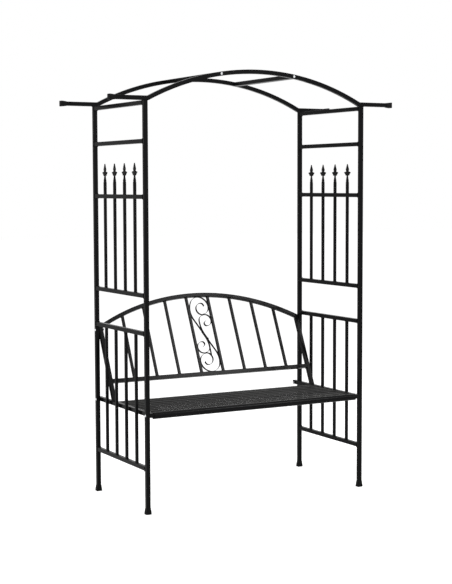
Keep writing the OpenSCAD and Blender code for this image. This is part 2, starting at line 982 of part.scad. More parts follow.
// Double curl: large curl, shoulder and small curl
module double_curl(mid) {
    y = shoulder_y(mid);
    tip_y = y + 2 * curl_r - curl_tip_r;
    shoulder_x = scroll_half_w - shoulder_r;
    small_y = y - 2 * shoulder_r + small_curl_r;
    bent_strip([curl_x, tip_y], curl_tip_r, curl_tip, 90);
    bent_strip([curl_x, y + curl_r], curl_r, 90, 270);
    straight_strip([curl_x, y], [shoulder_x, y]);
    bent_strip([shoulder_x, y - shoulder_r], shoulder_r, -90, 90);
    bent_strip([shoulder_x, small_y], small_curl_r, small_curl_tip, 270);
}

// Branch that runs from the curls into the slope
module branch(mid) {
    arc_y = shoulder_y(mid) - strip_step - branch_r;
    bend_end = [branch_join_x, branch_join_y(mid)];
    bend_start = [branch_left_x, bend_end[1] + branch_bend_r * sin(bend_turn)];
    tail_y = mid - branch_end;
    bent_strip([branch_x, arc_y], branch_r, 90, 180);
    straight_strip([branch_left_x, arc_y], bend_start);
    bent_strip(bend_start + [branch_bend_r, 0], branch_bend_r, 180, 180 + bend_turn);
    straight_strip(bend_end, [branch_join_x + (bend_end[1] - tail_y) / tan(scroll_slope), tail_y]);
}

// Scroll of flat strip, its lower half turned round
module back_scroll() {
    color(coat) in_frame()
        in_backrest()
            translate([0, 0, scroll_mid_l])
                rotate([90, 0, 0])
                    linear_extrude(strip_w, center = true) {
                        straight_strip(
                            [-bend_start_x, -bend_start_y(scroll_sink)],
                            [bend_start_x, bend_start_y(-scroll_sink)]
                        );
                        for (half = [-1, 1])
                            rotate(90 + half * 90) {
                                end_loop(half * scroll_sink);
                                double_curl(half * scroll_sink);
                                branch(half * scroll_sink);
                            }
                    }
}

// Places of the bolts in one side frame, on the posts' outer faces
module frame_bolt_places(side) {
    for (row = [-1, 1])
        translate([side * (post_x + tube / 2), row * post_y, seat_rail_z])
            rotate([0, -side * 90, 0])
                children();
    translate([side * (post_x + tube / 2), post_y, back_bolt_z])
        rotate([0, -side * 90, 0])
            children();
}

// Bolts that hold seat and backrest in the side frames, and the uprights' feet from below
module frame_bolts() {
    color(zinc) in_frame()
        for (side = [-1, 1]) {
            frame_bolt_places(side)
                bolt(2 * tube + nut_h + bolt_tail);
            translate([side * seat_x, foot_bolt_y, seat_rail_bottom])
                bolt(tube + foot_plate_t + nut_h);
        }
}

// Nuts on the bolts of the side frames, and on the foot bolts inside the uprights
module frame_nuts() {
    color(coat) in_frame()
        for (side = [-1, 1]) {
            frame_bolt_places(side)
                translate([0, 0, 2 * tube])
                    nut();
            translate([side * seat_x, foot_bolt_y, back_foot_z])
                nut();
        }
}

post(-1, -1);  // post_front_left
post(-1, 1);  // post_rear_left
post(1, -1);  // post_front_right
post(1, 1);  // post_rear_right
side_rail(-1, bottom_rail_z);  // bottom_rail_left
side_rail(1, bottom_rail_z);  // bottom_rail_right
side_rail(-1, arm_rail_z);  // arm_rail_left
side_rail(1, arm_rail_z);  // arm_rail_right
side_rail(-1, trellis_rail_z);  // trellis_rail_left
side_rail(1, trellis_rail_z);  // trellis_rail_right
spear_rail(-1);  // spear_rail_left
spear_rail(1);  // spear_rail_right
side_rail(-1, upper_rail_z);  // upper_rail_left
side_rail(1, upper_rail_z);  // upper_rail_right
side_rail(-1, top_rail_z);  // top_rail_left
side_rail(1, top_rail_z);  // top_rail_right
lower_pickets(-1);  // lower_pickets_left
lower_pickets(1);  // lower_pickets_right
spear_pickets(-1);  // spear_pickets_left
spear_pickets(1);  // spear_pickets_right
spear_finials(-1);  // spear_finials_left
spear_finials(1);  // spear_finials_right
overhang_bars(-1);  // overhang_bars_left
overhang_bars(1);  // overhang_bars_right
arch(-1);  // arch_front
arch(1);  // arch_rear
arch_spigots();
bar_plugs();
spigot_screws();
rung(-1);  // rung_left
rung(1);  // rung_right
rung_plugs();
rung_bolts();
foot_caps();
overhang_caps();
rail_plugs();
seat_side_rail(-1);  // seat_side_rail_left
seat_side_rail(1);  // seat_side_rail_right
seat_front_tube();
seat_slat(1);  // seat_slat_1
seat_slat(2);  // seat_slat_2
seat_slat(3);  // seat_slat_3
seat_slat(4);  // seat_slat_4
seat_slat(5);  // seat_slat_5
seat_slat(6);  // seat_slat_6
seat_slat(7);  // seat_slat_7
seat_slat(8);  // seat_slat_8
seat_slat(9);  // seat_slat_9
seat_rear_bar();
seat_bearer(-1);  // seat_bearer_left
seat_bearer(1);  // seat_bearer_right
back_upright(-1);  // back_upright_left
back_upright(1);  // back_upright_right
back_bottom_rail();
back_arch();
back_spindles();
back_scroll();
back_foot_plates();
frame_bolts();
frame_nuts();
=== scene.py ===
"""Looks, light and camera for a black garden arch with a bench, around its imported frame.

All lengths are in metres, in the row's own frame: X to the right, Y to the rear, Z up.
"""

from __future__ import annotations

import logging
import math
import random
from dataclasses import dataclass
from enum import Enum
from functools import cache

import bmesh
import bpy
from mathutils import Matrix, Vector


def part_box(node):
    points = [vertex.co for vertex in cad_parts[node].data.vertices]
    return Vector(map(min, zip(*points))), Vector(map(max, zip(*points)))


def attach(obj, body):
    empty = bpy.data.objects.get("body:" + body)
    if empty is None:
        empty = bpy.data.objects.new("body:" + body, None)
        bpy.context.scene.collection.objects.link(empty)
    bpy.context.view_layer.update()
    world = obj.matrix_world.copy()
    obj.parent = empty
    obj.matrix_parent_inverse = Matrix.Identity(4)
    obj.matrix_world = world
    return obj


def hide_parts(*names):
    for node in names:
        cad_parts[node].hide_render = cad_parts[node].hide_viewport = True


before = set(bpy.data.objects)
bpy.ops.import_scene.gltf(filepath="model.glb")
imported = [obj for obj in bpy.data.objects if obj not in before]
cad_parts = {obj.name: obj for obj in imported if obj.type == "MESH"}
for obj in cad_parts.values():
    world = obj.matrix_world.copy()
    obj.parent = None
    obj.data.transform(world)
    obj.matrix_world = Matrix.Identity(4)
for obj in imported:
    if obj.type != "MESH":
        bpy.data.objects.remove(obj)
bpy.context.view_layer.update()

LOG = logging.getLogger("garden_arch")
BODY = "root"
MM = 0.001
# Distance below which two places count as one
NEAR = 1e-6


class Slot(Enum):
    """Material slots of the record."""

    COAT = "powder_coat"
    PLASTIC = "black_plastic"
    ZINC = "zinc"
    BLACK_ZINC = "black_zinc"


class Side(Enum):
    """Left and right side of the arch, as the nodes' names have it."""

    LEFT = "left"
    RIGHT = "right"


# Shared shader effects


class GroupBuilder:
    """Helper that fills one shader node group."""

    def __init__(self, name: str, inputs: dict[str, float | None], outputs: list[str]) -> None:
        """Starts a group.

        Args:
            name: name of the group.
            inputs: socket names with their default values; None makes a vector socket.
            outputs: names of the value sockets that the group puts out.
        """
        self.tree = bpy.data.node_groups.new(name, "ShaderNodeTree")
        for label, value in inputs.items():
            kind = "NodeSocketVector" if value is None else "NodeSocketFloat"
            socket = self.tree.interface.new_socket(name=label, in_out="INPUT", socket_type=kind)
            if value is not None:
                socket.default_value = value
        for label in outputs:
            self.tree.interface.new_socket(
                name=label, in_out="OUTPUT", socket_type="NodeSocketFloat"
            )
        self.source = self.tree.nodes.new("NodeGroupInput")
        self.sink = self.tree.nodes.new("NodeGroupOutput")

    def link(self, start: bpy.types.NodeSocket, end: bpy.types.NodeSocket) -> None:
        """Links two sockets of the group."""
        self.tree.links.new(start, end)

    def noise(self, scale: float, detail: float, roughness: float = 0.5) -> bpy.types.Node:
        """Adds a noise texture that reads the group's Vector input.

        Args:
            scale: cells a metre.
            detail: octaves of finer noise.
            roughness: weight of the finer octaves.

        Returns:
            The noise node.
        """
        node = self.tree.nodes.new("ShaderNodeTexNoise")
        node.inputs["Scale"].default_value = scale
        node.inputs["Detail"].default_value = detail
        node.inputs["Roughness"].default_value = roughness
        self.link(self.source.outputs["Vector"], node.inputs["Vector"])
        return node

    def math(self, operation: str, *values: bpy.types.NodeSocket | float) -> bpy.types.NodeSocket:
        """Adds a math node that takes sockets or numbers, and returns its result's socket."""
        node = self.tree.nodes.new("ShaderNodeMath")
        node.operation = operation
        for socket, value in zip(node.inputs, values):
            if isinstance(value, (int, float)):
                socket.default_value = value
            else:
                self.link(value, socket)
        return node.outputs[0]


class Effects:
    """Shader effects that several finishes share, each built once.

    Attributes:
        WAVES: scale and detail of the powder's waviness.
        GRIT: scale and detail of its grit.
        CLOUDS: scale, detail and roughness of the slow variation.
        GRAINS: scale, detail and roughness of the dust and painted sheen.
        LUMPING: power that draws the dust and painted sheen into lumps.
    """

    WAVES = (620.0, 1.0)
    GRIT = (2600.0, 2.0)
    CLOUDS = (14.0, 4.0, 0.6)
    GRAINS = (95.0, 6.0, 0.7)
    LUMPING = 1.5

    @classmethod
    @cache
    def peel(cls) -> bpy.types.ShaderNodeTree:
        """Returns the fine waviness of baked powder, as a height."""
        group = GroupBuilder("powder_peel", {"Vector": None, "Fine": 0.35}, ["Height"])
        waves = group.noise(*cls.WAVES)
        grit = group.noise(*cls.GRIT)
        fine = group.math("MULTIPLY", grit.outputs["Fac"], group.source.outputs["Fine"])
        group.link(group.math("ADD", waves.outputs["Fac"], fine), group.sink.inputs["Height"])
        return group.tree

    @classmethod
    @cache
    def mottle(cls) -> bpy.types.ShaderNodeTree:
        """Returns slow variation over a surface, as a mask."""
        group = GroupBuilder("surface_mottle", {"Vector": None, "Contrast": 1.6}, ["Mask"])
        clouds = group.noise(*cls.CLOUDS)
        spread = group.math("SUBTRACT", clouds.outputs["Fac"], 0.5)
        wide = group.math("MULTIPLY", spread, group.source.outputs["Contrast"])
        mask = group.math("ADD", wide, 0.5)
        clamped = group.math("MINIMUM", group.math("MAXIMUM", mask, 0.0), 1.0)
        group.link(clamped, group.sink.inputs["Mask"])
        return group.tree

    @classmethod
    @cache
    def dust_and_sheen(cls) -> bpy.types.ShaderNodeTree:
        """Returns dust and painted sheen on faces that look up, as a mask: thin settled dust at
        small amounts, a painted sheen standing in for reflected light at large ones.
        """
        inputs = {"Vector": None, "Normal": None, "Amount": 0.3}
        group = GroupBuilder("settled_dust_and_sheen", inputs, ["Mask"])
        split = group.tree.nodes.new("ShaderNodeSeparateXYZ")
        group.link(group.source.outputs["Normal"], split.inputs[0])
        # Only faces that look up get it: settled dust, and at large amounts a painted sheen of
        # reflected light
        up = group.math("MAXIMUM", split.outputs["Z"], 0.0)
        grains = group.noise(*cls.GRAINS)
        lumps = group.math("POWER", grains.outputs["Fac"], cls.LUMPING)
        top_dust_and_sheen = group.math("MULTIPLY", up, lumps)
        mask = group.math("MULTIPLY", top_dust_and_sheen, group.source.outputs["Amount"])
        group.link(mask, group.sink.inputs["Mask"])
        return group.tree


# Finishes


@dataclass(frozen=True)
class Finish:
    """A surface finish.

    Attributes:
        name: name of the material.
        slot: material slot of the record; not used.
        dark: base colour where the mottle is low.
        light: base colour where the mottle is high.
        rough: lowest and highest roughness.
        metallic: metallic share.
        specular: specular level.
        bump: depth of the fine texture, in metres.
        fine: share of grit in the fine texture.
        dust_and_sheen: amount of lighter colour on faces that look up; small amounts are settled
            dust, large ones a painted sheen of reflected light.
        dust_and_sheen_grain: scale of its pattern along X and along Y, which can draw it into
            painted highlight streaks.
        dust_and_sheen_colour: base colour of the settled dust and painted sheen.
    """

    name: str
    slot: Slot
    dark: tuple[float, float, float]
    light: tuple[float, float, float]
    rough: tuple[float, float]
    metallic: float = 0.0
    specular: float = 0.5
    bump: float = 0.00002
    fine: float = 0.35
    dust_and_sheen: float = 0.0
    dust_and_sheen_grain: tuple[float, float] = (1.0, 1.0)
    dust_and_sheen_colour: tuple[float, float, float] = (0.090, 0.089, 0.087)

    def material(self) -> bpy.types.Material:
        """Returns the finish's material, built at the first call."""
        made = bpy.data.materials.get(self.name)
        if made is not None:
            return made
        material = bpy.data.materials.new(self.name)
        material.use_nodes = True
        tree = material.node_tree
        shader = tree.nodes["Principled BSDF"]
        shader.inputs["Metallic"].default_value = self.metallic
        shader.inputs["Specular IOR Level"].default_value = self.specular
        where = tree.nodes.new("ShaderNodeTexCoord").outputs["Object"]
        mask = self._group(tree, Effects.mottle(), where)
        colour = self._mix(tree, mask.outputs["Mask"], self.dark, self.light)
        # Lighter colour on faces that look up: settled dust at small amounts, painted sheen of
        # reflected light at large ones.
        if self.dust_and_sheen:
            drawn = tree.nodes.new("ShaderNodeVectorMath")
            drawn.operation = "MULTIPLY"
            drawn.inputs[1].default_value = (*self.dust_and_sheen_grain, 1.0)
            tree.links.new(where, drawn.inputs[0])
            dust_and_sheen = self._group(tree, Effects.dust_and_sheen(), drawn.outputs["Vector"])
            dust_and_sheen.inputs["Amount"].default_value = self.dust_and_sheen
            surface = tree.nodes.new("ShaderNodeNewGeometry")
            tree.links.new(surface.outputs["Normal"], dust_and_sheen.inputs["Normal"])
            colour = self._mix(tree, dust_and_sheen.outputs["Mask"], colour, self.dust_and_sheen_colour)
        tree.links.new(colour, shader.inputs["Base Color"])
        spread = tree.nodes.new("ShaderNodeMapRange")
        spread.inputs["To Min"].default_value = self.rough[0]
        spread.inputs["To Max"].default_value = self.rough[1]
        tree.links.new(mask.outputs["Mask"], spread.inputs["Value"])
        tree.links.new(spread.outputs["Result"], shader.inputs["Roughness"])
        peel = self._group(tree, Effects.peel(), where)
        peel.inputs["Fine"].default_value = self.fine
        bump = tree.nodes.new("ShaderNodeBump")
        bump.inputs["Distance"].default_value = self.bump
        tree.links.new(peel.outputs["Height"], bump.inputs["Height"])
        tree.links.new(bump.outputs["Normal"], shader.inputs["Normal"])
        return material

    @staticmethod
    def _group(
        tree: bpy.types.NodeTree, group: bpy.types.ShaderNodeTree, where: bpy.types.NodeSocket
    ) -> bpy.types.Node:
        """Places a shared group, feeds it the coordinates and returns its node."""
        node = tree.nodes.new("ShaderNodeGroup")
        node.node_tree = group
        tree.links.new(where, node.inputs["Vector"])
        return node

    @staticmethod
    def _mix(
        tree: bpy.types.NodeTree,
        factor: bpy.types.NodeSocket,
        low: bpy.types.NodeSocket | tuple[float, float, float],
        high: tuple[float, float, float],
    ) -> bpy.types.NodeSocket:
        """Mixes two colours, low where the mask is 0 and high where it is 1."""
        node = tree.nodes.new("ShaderNodeMix")
        node.data_type = "RGBA"
        tree.links.new(factor, node.inputs["Factor"])
        if isinstance(low, tuple):
            node.inputs["A"].default_value = (*low, 1.0)
        else:
            tree.links.new(low, node.inputs["A"])
        node.inputs["B"].default_value = (*high, 1.0)
        return node.outputs["Result"]


POWDER_COAT = Finish(
    "satin_black_powder_coat",
    Slot.COAT,
    dark=(0.0046, 0.0046, 0.0049),
    light=(0.0068, 0.0068, 0.0072),
    rough=(0.17, 0.23),
    specular=0.03,
    bump=0.000006,
    dust_and_sheen=0.06,
)
# The slats' tops carry painted sheen: the large dust amount and its lengthwise grain paint the
# reflection and the highlight streaks that the low specular leaves out.
SLAT_COAT = Finish(
    "matt_black_powder_coat",
    Slot.COAT,
    dark=(0.0050, 0.0050, 0.0053),
    light=(0.0080, 0.0080, 0.0084),
    rough=(0.50, 0.58),
    specular=0.006,
    bump=0.000002,
    dust_and_sheen=1.1,
    dust_and_sheen_grain=(0.01, 0.28),
)
CAST_COAT = Finish(
    "coated_casting",
    Slot.COAT,
    dark=(0.0046, 0.0046, 0.0049),
    light=(0.0074, 0.0074, 0.0078),
    rough=(0.40, 0.54),
    specular=0.04,
    bump=0.00008,
    fine=0.2,
    dust_and_sheen=0.06,
)
PLASTIC = Finish(
    "black_moulded_plastic",
    Slot.PLASTIC,
    dark=(0.0042, 0.0042, 0.0044),
    light=(0.0060, 0.0060, 0.0062),
    rough=(0.50, 0.60),
    specular=0.05,
    bump=0.00003,
    fine=0.9,
)
ZINC = Finish(
    "bright_zinc_plate",
    Slot.ZINC,
    dark=(0.52, 0.53, 0.54),
    light=(0.68, 0.69, 0.70),
    rough=(0.22, 0.36),
    metallic=1.0,
    bump=0.00001,
    fine=0.8,
)
BLACK_ZINC = Finish(
    "black_zinc_plate",
    Slot.BLACK_ZINC,
    dark=(0.014, 0.014, 0.015),
    light=(0.026, 0.026, 0.027),
    rough=(0.34, 0.46),
    metallic=0.6,
    bump=0.00001,
    fine=0.8,
)


# Helpers for meshes


def settle(
    bm: bmesh.types.BMesh,
    name: str,
    finish: Finish,
    replaced: tuple[str, ...] = (),
    sharp: float = 35.0,
) -> bpy.types.Object:
    """Turns a bmesh into a finished piece that rides on the body.

    Args:
        bm: the mesh under construction; it is freed.
        name: name of the piece.
        finish: finish that the piece takes.
        replaced: CAD nodes that the piece stands for.
        sharp: angle in degrees past which an edge stays sharp.

    Returns:
        The new object.
    """
    bmesh.ops.remove_doubles(bm, verts=bm.verts, dist=NEAR)
    bmesh.ops.recalc_face_normals(bm, faces=bm.faces)
    mesh = bpy.data.meshes.new(name)
    bm.to_mesh(mesh)
    bm.free()
    mesh.shade_smooth()
    mesh.set_sharp_from_angle(angle=math.radians(sharp))
    mesh.materials.append(finish.material())
    piece = bpy.data.objects.new(name, mesh)
    bpy.context.scene.collection.objects.link(piece)
    if replaced:
        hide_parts(*replaced)
    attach(piece, BODY)
    LOG.info("%s: %d faces, %s", name, len(mesh.polygons), finish.name)
    return piece


def dress(finish: Finish, *nodes: str) -> None:
    """Gives CAD nodes a finish."""
    for node in nodes:
        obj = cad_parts[node]
        obj.data.materials.clear()
        obj.data.materials.append(finish.material())
        LOG.info("%s: CAD node, %s", node, finish.name)


def middle(node: str) -> Vector:
    """Returns the middle of a CAD node's box."""
    low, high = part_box(node)
    return (low + high) / 2


def clusters(values: list[float], apart: float = 0.02) -> list[tuple[float, float]]:
    """Returns middle and width of each group of numbers that lie less than a distance apart."""
    groups: list[list[float]] = []
    for value in sorted(values):
        if not groups or value - groups[-1][-1] > apart:
            groups.append([])
        groups[-1].append(value)
    return [((group[0] + group[-1]) / 2, group[-1] - group[0]) for group in groups]


def block(bm: bmesh.types.BMesh, size: Vector, centre: Vector) -> list[bmesh.types.BMVert]:
    """Adds a box and returns its corners."""
    made = bmesh.ops.create_cube(bm, size=1.0)["verts"]
    bmesh.ops.scale(bm, verts=made, vec=size)
    bmesh.ops.translate(bm, verts=made, vec=centre)
    return made


def rounded(
    bm: bmesh.types.BMesh,
    edges: list[bmesh.types.BMEdge],
    radius: float,
    segments: int = 3,
    clamp: bool = False,
) -> set[bmesh.types.BMVert]:
    """Rounds edges.

    Args:
        bm: mesh with the edges.
        edges: the edges.
        radius: radius of the rounding.
        segments: faces round each edge.
        clamp: whether the radius stops where two roundings would meet.

    Returns:
        The vertices of the rounded faces.
    """
    done = bmesh.ops.bevel(
        bm,
        geom=edges,
        offset=radius,
        segments=segments,
        profile=0.5,
        affect="EDGES",
        clamp_overlap=clamp,
        material=-1,
    )
    return {v for f in done["faces"] for v in f.verts}


def grow_face(bm: bmesh.types.BMesh, face: bmesh.types.BMFace) -> list[bmesh.types.BMVert]:
    """Extrudes a face and returns its new vertices."""
    grown = bmesh.ops.extrude_face_region(bm, geom=[face])["geom"]
    return [v for v in grown if isinstance(v, bmesh.types.BMVert)]


def rise(edge: bmesh.types.BMEdge) -> float:
    """Returns the difference in height between an edge's ends."""
    return abs(edge.verts[0].co.z - edge.verts[1].co.z)


def island(verts: list[bmesh.types.BMVert]) -> list[bmesh.types.BMVert]:
    """Returns all vertices that hang together with the given ones."""
    seen = set(verts)
    queue = list(verts)
    while queue:
        for edge in queue.pop().link_edges:
            for vert in edge.verts:
                if vert not in seen:
                    seen.add(vert)
                    queue.append(vert)
    return list(seen)


def turned(at: Vector, along: Vector, across: Vector) -> Matrix:
    """Returns a placement, with its local Z along one way and its local X across it."""
    z = along.normalized()
    x = (across - z * across.dot(z)).normalized()
    y = z.cross(x)
    turn = Matrix((x, y, z)).transposed().to_4x4()
    return Matrix.Translation(at) @ turn


@dataclass(frozen=True)
class Bead:
    """A fillet weld with a slightly uneven surface.

    Attributes:
        leg: height and width of the fillet.
        ripple: depth of its unevenness.
        cuts: cuts along each side of the tube.
        fill: share of the leg that is rounded off.
        steps: steps along a bead on a round tube.
    """

    leg: float = 2.0 * MM
    ripple: float = 0.22 * MM
    cuts: int = 4
    fill: float = 0.96
    steps: int = 14

    def square(
        self, bm: bmesh.types.BMesh, place: Matrix, width: float, depth: float, seed: int
    ) -> None:
        """Adds a bead round the end of a square tube.

        Args:
            bm: mesh that the bead joins.
            place: the joint: its Z axis points from the face that the tube meets into the tube.
            width: outer width of the tube along local X.
            depth: outer width of the tube along local Y.
            seed: seed of the unevenness.
        """
        draw = random.Random(seed)
        grow = 2.0 * self.leg
        size = Vector((width + grow, depth + grow, self.leg))
        made = block(bm, size, Vector((0.0, 0.0, self.leg / 2)))
        rims = {e for v in made for e in v.link_edges if self._far(e)}
        cut = bmesh.ops.subdivide_edges(bm, edges=list(rims), cuts=self.cuts)
        parts = set(cut["geom_inner"] + cut["geom_split"])
        sides = [e for e in parts if isinstance(e, bmesh.types.BMEdge) and self._far(e)]
        edges = [e for e in sides if self._outer(e, size)]
        verts = rounded(bm, edges, self.leg * self.fill) | set(made) & set(bm.verts)
        for vert in sorted(verts, key=lambda v: [round(c / NEAR) for c in v.co]):
            shift = Vector((draw.uniform(-1, 1), draw.uniform(-1, 1), draw.uniform(-1, 0)))
            vert.co += shift * self.ripple
        bmesh.ops.transform(bm, matrix=place, verts=island(list(verts)))

    def _far(self, edge: bmesh.types.BMEdge) -> bool:
        """Returns whether an edge lies in the bead's far face."""
        return all(abs(v.co.z - self.leg) < NEAR for v in edge.verts)

    @staticmethod
    def _outer(edge: bmesh.types.BMEdge, size: Vector) -> bool:
        """Returns whether an edge lies on the outer rim of a bead of a size."""
        mid = (edge.verts[0].co + edge.verts[1].co) / 2
        return any(abs(abs(mid[i]) - size[i] / 2) < NEAR for i in (0, 1))

    def arc(
        self,
        bm: bmesh.types.BMesh,
        centre: Vector,
        way: float,
        radius: float,
        first: float,
        last: float,
    ) -> None:
        """Adds a bead along part of the end of a round tube that points along X.

        Args:
            bm: mesh that the bead joins.
            centre: middle of the tube's end.
            way: 1 for a tube that runs to the right from there, -1 for one that runs to the left.
            radius: outer radius of the tube.
            first: angle in radians at which the bead starts, from +Y towards +Z.
            last: angle in radians at which it ends.
        """
        out = Vector((0.0, math.cos(first), math.sin(first)))
        foot = centre + out * radius
        corners = (foot, foot + out * self.leg, foot + Vector((way * self.leg, 0.0, 0.0)))
        face = bm.faces.new([bm.verts.new(corner) for corner in corners])
        bmesh.ops.spin(
            bm,
            geom=[*face.verts, *face.edges, face],
            cent=centre,
            axis=(1.0, 0.0, 0.0),
            angle=last - first,
            steps=self.steps,
        )


# Pieces


@dataclass
class SideFrame:
    """One side frame: posts, rails, pickets and overhang bars.

    Attributes:
        side: left or right.
        rails: names of its rails, without the side.
        ends: names of its pickets, and whether their feet and heads are welded.
        rail_bead: weld at the rails' ends.
        picket_bead: weld at the pickets' ends.
        seeds: seeds of the welds on the left and on the right start after these.
    """

    side: Side
    rails: tuple[str, ...] = (
        "bottom_rail",
        "arm_rail",
        "trellis_rail",
        "spear_rail",
        "upper_rail",
        "top_rail",
    )
    ends: tuple[tuple[str, bool, bool], ...] = (
        ("lower_pickets", True, True),
        ("spear_pickets", True, False),
    )
    rail_bead: Bead = Bead()
    picket_bead: Bead = Bead(leg=1.4 * MM, ripple=0.15 * MM, cuts=2)
    seeds: tuple[int, int] = (100, 200)

    def build(self) -> None:
        """Dresses the side frame's nodes and adds its welds."""
        pickets = (name for name, _, _ in self.ends)
        parts = ("post_front", "post_rear", *self.rails, *pickets, "overhang_bars")
        dress(POWDER_COAT, *(f"{part}_{self.side.value}" for part in parts))
        self._welds()

    @staticmethod
    def picket_rows(node: str) -> list[tuple[float, float]]:
        """Returns middle and width along Y of each picket of a CAD node."""
        return clusters([v.co.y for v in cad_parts[node].data.vertices])

    def _welds(self) -> None:
        """Adds the welds at the ends of the rails and pickets."""
        bm = bmesh.new()
        seed = self.seeds[self.side is Side.RIGHT]
        for rail in self.rails:
            low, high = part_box(f"{rail}_{self.side.value}")
            x, z = (low.x + high.x) / 2, (low.z + high.z) / 2
            for y, way in ((low.y, 1.0), (high.y, -1.0)):
                place = turned(Vector((x, y, z)), Vector((0, way, 0)), Vector((1, 0, 0)))
                seed += 1
                self.rail_bead.square(bm, place, high.x - low.x, high.z - low.z, seed)
        for node, foot, head in self.ends:
            low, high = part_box(f"{node}_{self.side.value}")
            x = (low.x + high.x) / 2
            for y, width in self.picket_rows(f"{node}_{self.side.value}"):
                for z, way, made in ((low.z, 1.0, foot), (high.z, -1.0, head)):
                    if made:
                        place = turned(Vector((x, y, z)), Vector((0, 0, way)), Vector((1, 0, 0)))
                        seed += 1
                        self.picket_bead.square(bm, place, width, width, seed)
        settle(bm, f"side_frame_welds_{self.side.value}", POWDER_COAT)


@dataclass
class Finials:
    """Cast spear finials of one side frame.

    Attributes:
        side: left or right.
        outline: half outline of crown and blade, as height and half width in millimetres.
        profile: profile of neck, barrel and ring, as height and radius in millimetres.
        thick: thickness of crown and blade.
        edge: rounding of their edges.
        steps: steps round the stem.
    """

    side: Side
    outline: tuple[tuple[float, float], ...] = (
        (36.5, 4.3), (37.3, 10.0), (37.6, 14.2), (39.8, 15.6), (43.0, 16.6),
        (46.0, 20.0), (49.5, 24.4), (52.0, 25.9), (54.4, 25.4), (55.6, 20.0),
        (57.0, 12.5), (59.0, 8.8), (61.5, 9.6), (64.0, 11.6), (67.5, 12.2),
        (71.0, 11.3), (76.0, 8.8), (82.0, 6.0), (89.0, 3.0), (94.6, 0.9),
    )
    profile: tuple[tuple[float, float], ...] = (
        (0.0, 7.6), (1.2, 8.0), (5.8, 8.0), (7.0, 7.2), (8.2, 6.6),
        (10.0, 7.0), (15.8, 7.0), (17.2, 6.5), (24.0, 5.4), (32.0, 4.4),
        (38.0, 4.2),
    )
    thick: float = 5.4 * MM
    edge: float = 1.5 * MM
    steps: int = 24

    def build(self) -> None:
        """Builds the four finials of the side in place of their CAD node."""
        node = f"spear_finials_{self.side.value}"
        low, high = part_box(node)
        pickets = f"spear_pickets_{self.side.value}"
        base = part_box(pickets)[1].z
        x = (low.x + high.x) / 2
        bm = bmesh.new()
        for y, _ in SideFrame.picket_rows(pickets):
            place = Matrix.Translation((x, y, base))
            self._plate(bm, place)
            self._stem(bm, place)
        settle(bm, f"{node}_cast", CAST_COAT, (node,), sharp=50.0)

    def _plate(self, bm: bmesh.types.BMesh, place: Matrix) -> None:
        """Adds crown and blade, as one plate with rounded edges, on a picket's end."""
        right = [bm.verts.new((self.thick / 2, w * MM, z * MM)) for z, w in self.outline]
        left = [bm.verts.new((self.thick / 2, -w * MM, z * MM)) for z, w in self.outline]
        moved = grow_face(bm, bm.faces.new(right + left[::-1]))
        bmesh.ops.translate(bm, verts=moved, vec=(-self.thick, 0.0, 0.0))
        faces = {f for v in right + left + moved for f in v.link_faces}
        rims = {e for f in faces if len(f.verts) > 4 for e in f.edges}
        touched = rounded(bm, list(rims), self.edge, clamp=True)
        bmesh.ops.transform(bm, matrix=place, verts=island(list(touched)))

    def _stem(self, bm: bmesh.types.BMesh, place: Matrix) -> None:
        """Adds neck, barrel and ring, as one turned shape, on a picket's end."""
        chain = [bm.verts.new((0.0, 0.0, self.profile[0][0] * MM))]
        chain += [bm.verts.new((r * MM, 0.0, z * MM)) for z, r in self.profile]
        chain.append(bm.verts.new((0.0, 0.0, self.profile[-1][0] * MM)))
        edges = [bm.edges.new(pair) for pair in zip(chain, chain[1:])]
        before = set(bm.verts) - set(chain)
        bmesh.ops.spin(
            bm,
            geom=chain + edges,
            cent=(0.0, 0.0, 0.0),
            axis=(0.0, 0.0, 1.0),
            angle=math.tau,
            steps=self.steps,
            use_merge=True,
            use_duplicate=False,
        )
        made = [v for v in bm.verts if v not in before]
        bmesh.ops.transform(bm, matrix=place, verts=made)


